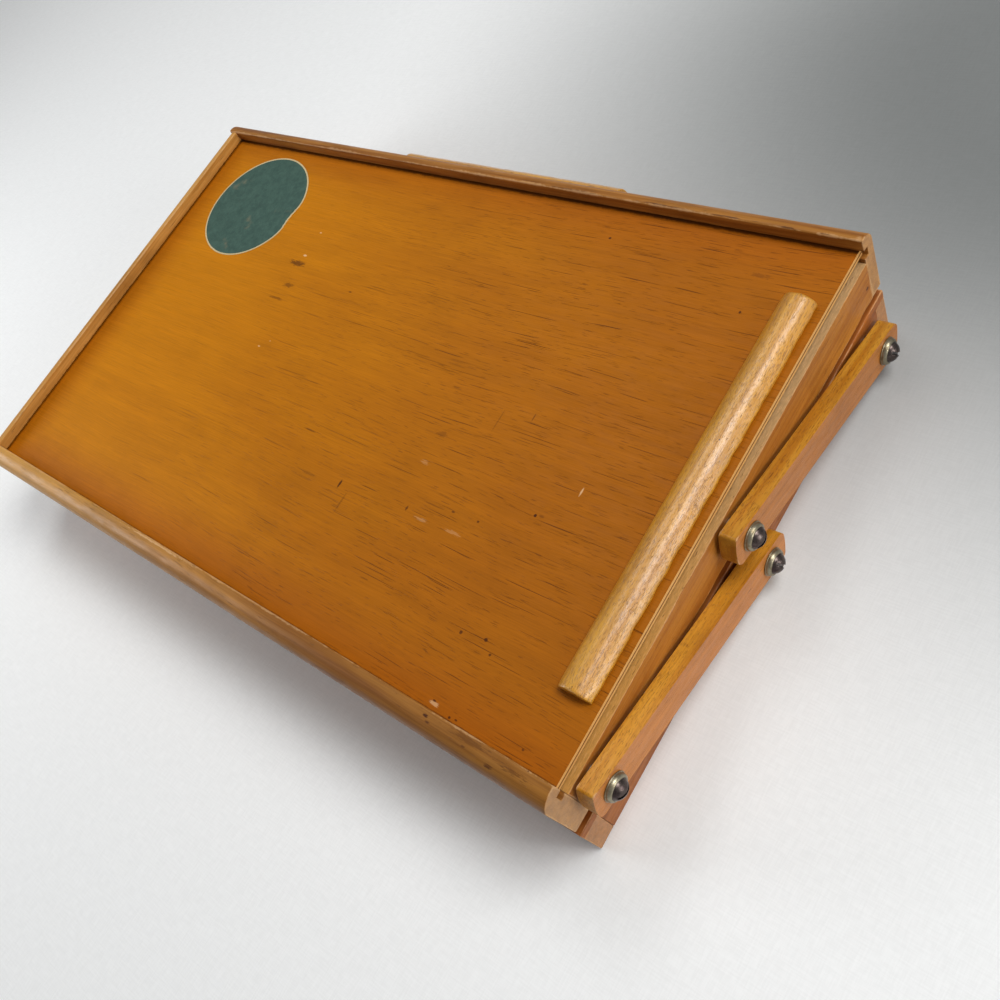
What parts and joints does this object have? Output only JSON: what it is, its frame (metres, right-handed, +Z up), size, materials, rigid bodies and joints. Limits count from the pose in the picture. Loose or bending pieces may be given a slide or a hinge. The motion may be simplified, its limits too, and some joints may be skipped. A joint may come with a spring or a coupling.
{
  "type": "accordion pencil box",
  "caption": "Wooden two-tray accordion box for pencils: folding side arms lift the upper tray to the rear, and its plywood lid slides out at one end.",
  "frame": {"origin": "under the middle of the box, on the underside of the lower tray", "axes": "+X along the box towards the end where the lid slides out, +Y from the nosed front rail to the rear, +Z up"},
  "size_m": [0.3494, 0.2067, 0.0516],
  "materials": {
    "rail_wood": "satin varnish",
    "lid_plywood": "satin varnish",
    "bottom_plywood": "bare",
    "beech": "satin varnish",
    "nickel": "satin",
    "blued_steel": "blued",
    "label_paper": "matt paper"
  },
  "bodies": {
    "lower_tray": {"lower_front_rail": "rail_wood", "lower_rear_rail": "rail_wood", "lower_left_end": "rail_wood", "lower_right_end": "rail_wood", "lower_bottom": "bottom_plywood", "lower_pivot_screws": "blued_steel", "lower_cup_washers": "nickel"},
    "upper_tray": {"upper_front_rail": "rail_wood", "upper_rear_rail": "rail_wood", "upper_closed_end": "rail_wood", "upper_open_end": "rail_wood", "upper_bottom": "bottom_plywood", "upper_pivot_screws": "blued_steel", "upper_cup_washers": "nickel", "rear_handle": "beech"},
    "lid": {"lid_panel": "lid_plywood", "lid_pull": "beech", "lid_label": "label_paper"},
    "arm_right_rear": {"arm_right_rear": "beech"},
    "arm_right_front": {"arm_right_front": "beech"},
    "arm_left_rear": {"arm_left_rear": "beech"},
    "arm_left_front": {"arm_left_front": "beech"}
  },
  "joints": [
    {"name": "fold", "type": "hinge", "parent": "lower_tray", "child": "arm_right_rear", "pos_m": [0.16735, 0.0846, 0.0105], "axis": [-1, 0, 0], "range_deg": [0, 149.4]},
    {"name": "upper_tray_level", "type": "hinge", "parent": "arm_right_rear", "child": "upper_tray", "pos_m": [0.16735, -0.00096, 0.03391], "axis": [-1, 0, 0], "range_deg": [-149.4, 0]},
    {"name": "arm_right_front_swing", "type": "hinge", "parent": "lower_tray", "child": "arm_right_front", "pos_m": [0.16735, 0.0015, 0.0105], "axis": [-1, 0, 0], "range_deg": [0, 149.4]},
    {"name": "arm_left_rear_swing", "type": "hinge", "parent": "lower_tray", "child": "arm_left_rear", "pos_m": [-0.16735, 0.0846, 0.0105], "axis": [-1, 0, 0], "range_deg": [0, 149.4]},
    {"name": "arm_left_front_swing", "type": "hinge", "parent": "lower_tray", "child": "arm_left_front", "pos_m": [-0.16735, 0.0015, 0.0105], "axis": [-1, 0, 0], "range_deg": [0, 149.4]},
    {"name": "lid_slide", "type": "slide", "parent": "upper_tray", "child": "lid", "axis": [1, 0, 0], "range_m": [0, 0.3]}
  ],
  "couplings": [
    {"joint": "upper_tray_level", "follows": "fold", "ratio": -1},
    {"joint": "arm_right_front_swing", "follows": "fold", "ratio": 1},
    {"joint": "arm_left_rear_swing", "follows": "fold", "ratio": 1},
    {"joint": "arm_left_front_swing", "follows": "fold", "ratio": 1}
  ]
}
